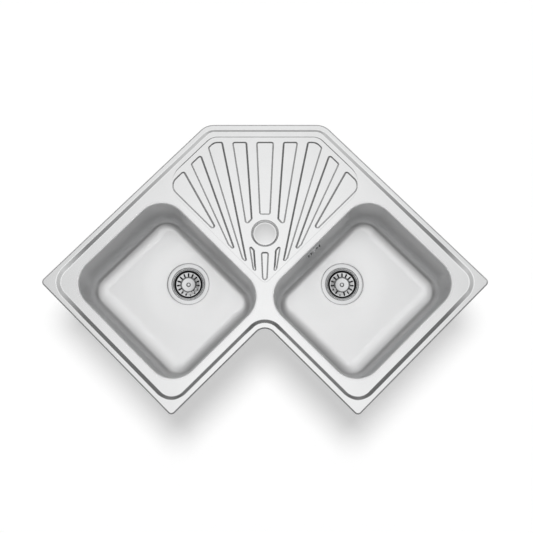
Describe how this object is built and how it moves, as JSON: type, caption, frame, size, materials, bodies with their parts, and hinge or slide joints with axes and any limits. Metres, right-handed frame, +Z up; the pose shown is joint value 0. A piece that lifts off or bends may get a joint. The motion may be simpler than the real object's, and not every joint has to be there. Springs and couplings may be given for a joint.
{
  "type": "corner kitchen sink",
  "caption": "L-shaped stainless steel inset sink for a worktop corner: a bowl on each arm, a fan-grooved drainer between them, basket wastes and an overflow.",
  "frame": {"origin": "on the underside of the rim seal, in the middle of the short edge that faces the room corner, level with the worktop", "axes": "+X along the right wall and the right arm, +Y towards the right wall, so the left arm runs along -Y, +Z up out of the worktop"},
  "size_m": [0.83, 0.83, 0.251],
  "materials": {
    "satin_steel": "satin stainless steel sheet",
    "polished_steel": "polished stainless steel",
    "zinc_steel": "zinc plated steel strip",
    "black_rubber": "smooth black rubber",
    "grey_foam": "closed-cell foam strip",
    "white_plastic": "moulded white plastic"
  },
  "bodies": {
    "sink": {"deck": "satin_steel", "rim_seal": "grey_foam", "right_bowl": "satin_steel", "right_strainer_dish": "polished_steel", "right_dish_gasket": "black_rubber", "right_waste_gasket": "black_rubber", "right_waste_body": "white_plastic", "right_clamp_screw": "polished_steel", "overflow_plate": "polished_steel", "overflow_screw": "polished_steel", "overflow_gasket": "black_rubber", "overflow_housing": "white_plastic", "overflow_pipe": "white_plastic", "overflow_upper_nut": "white_plastic", "overflow_lower_nut": "white_plastic", "left_bowl": "satin_steel", "left_strainer_dish": "polished_steel", "left_dish_gasket": "black_rubber", "left_waste_gasket": "black_rubber", "left_waste_body": "white_plastic", "left_clamp_screw": "polished_steel", "clip_1_hanger": "zinc_steel", "clip_2_hanger": "zinc_steel", "clip_3_hanger": "zinc_steel", "clip_4_hanger": "zinc_steel", "clip_5_hanger": "zinc_steel", "clip_6_hanger": "zinc_steel", "clip_7_hanger": "zinc_steel", "clip_8_hanger": "zinc_steel"},
    "right_basket": {"right_basket": "polished_steel", "right_basket_seal": "black_rubber", "right_basket_knob": "polished_steel"},
    "left_basket": {"left_basket": "polished_steel", "left_basket_seal": "black_rubber", "left_basket_knob": "polished_steel"},
    "clip_1_screw": {"clip_1_screw": "zinc_steel"},
    "clip_1_claw": {"clip_1_claw": "zinc_steel"},
    "clip_2_screw": {"clip_2_screw": "zinc_steel"},
    "clip_2_claw": {"clip_2_claw": "zinc_steel"},
    "clip_3_screw": {"clip_3_screw": "zinc_steel"},
    "clip_3_claw": {"clip_3_claw": "zinc_steel"},
    "clip_4_screw": {"clip_4_screw": "zinc_steel"},
    "clip_4_claw": {"clip_4_claw": "zinc_steel"},
    "clip_5_screw": {"clip_5_screw": "zinc_steel"},
    "clip_5_claw": {"clip_5_claw": "zinc_steel"},
    "clip_6_screw": {"clip_6_screw": "zinc_steel"},
    "clip_6_claw": {"clip_6_claw": "zinc_steel"},
    "clip_7_screw": {"clip_7_screw": "zinc_steel"},
    "clip_7_claw": {"clip_7_claw": "zinc_steel"},
    "clip_8_screw": {"clip_8_screw": "zinc_steel"},
    "clip_8_claw": {"clip_8_claw": "zinc_steel"}
  },
  "joints": [
    {"name": "right_basket_lift", "type": "slide", "parent": "sink", "child": "right_basket", "axis": [0, 0, 1], "range_m": [0, 0.2]},
    {"name": "left_basket_lift", "type": "slide", "parent": "sink", "child": "left_basket", "axis": [0, 0, 1], "range_m": [0, 0.2]},
    {"name": "clip_1_swing", "type": "hinge", "parent": "sink", "child": "clip_1_screw", "pos_m": [0.23297, 0.09623, -0.02], "axis": [0, 0, 1], "range_deg": [0, 90]},
    {"name": "clip_1_climb", "type": "slide", "parent": "clip_1_screw", "child": "clip_1_claw", "axis": [0, 0, 1], "range_m": [0, 0.012]},
    {"name": "clip_2_swing", "type": "hinge", "parent": "sink", "child": "clip_2_screw", "pos_m": [0.57329, 0.09623, -0.02], "axis": [0, 0, 1], "range_deg": [0, 90]},
    {"name": "clip_2_climb", "type": "slide", "parent": "clip_2_screw", "child": "clip_2_claw", "axis": [0, 0, 1], "range_m": [0, 0.012]},
    {"name": "clip_3_swing", "type": "hinge", "parent": "sink", "child": "clip_3_screw", "pos_m": [0.69278, -0.12992, -0.02], "axis": [0, 0, 1], "range_deg": [0, 90]},
    {"name": "clip_3_climb", "type": "slide", "parent": "clip_3_screw", "child": "clip_3_claw", "axis": [0, 0, 1], "range_m": [0, 0.012]},
    {"name": "clip_4_swing", "type": "hinge", "parent": "sink", "child": "clip_4_screw", "pos_m": [0.54493, -0.35607, -0.02], "axis": [0, 0, 1], "range_deg": [0, 90]},
    {"name": "clip_4_climb", "type": "slide", "parent": "clip_4_screw", "child": "clip_4_claw", "axis": [0, 0, 1], "range_m": [0, 0.012]},
    {"name": "clip_5_swing", "type": "hinge", "parent": "sink", "child": "clip_5_screw", "pos_m": [0.35607, -0.54493, -0.02], "axis": [0, 0, 1], "range_deg": [0, 90]},
    {"name": "clip_5_climb", "type": "slide", "parent": "clip_5_screw", "child": "clip_5_claw", "axis": [0, 0, 1], "range_m": [0, 0.012]},
    {"name": "clip_6_swing", "type": "hinge", "parent": "sink", "child": "clip_6_screw", "pos_m": [0.12992, -0.69278, -0.02], "axis": [0, 0, 1], "range_deg": [0, 90]},
    {"name": "clip_6_climb", "type": "slide", "parent": "clip_6_screw", "child": "clip_6_claw", "axis": [0, 0, 1], "range_m": [0, 0.012]},
    {"name": "clip_7_swing", "type": "hinge", "parent": "sink", "child": "clip_7_screw", "pos_m": [-0.09623, -0.57329, -0.02], "axis": [0, 0, 1], "range_deg": [0, 90]},
    {"name": "clip_7_climb", "type": "slide", "parent": "clip_7_screw", "child": "clip_7_claw", "axis": [0, 0, 1], "range_m": [0, 0.012]},
    {"name": "clip_8_swing", "type": "hinge", "parent": "sink", "child": "clip_8_screw", "pos_m": [-0.09623, -0.23297, -0.02], "axis": [0, 0, 1], "range_deg": [0, 90]},
    {"name": "clip_8_climb", "type": "slide", "parent": "clip_8_screw", "child": "clip_8_claw", "axis": [0, 0, 1], "range_m": [0, 0.012]}
  ]
}
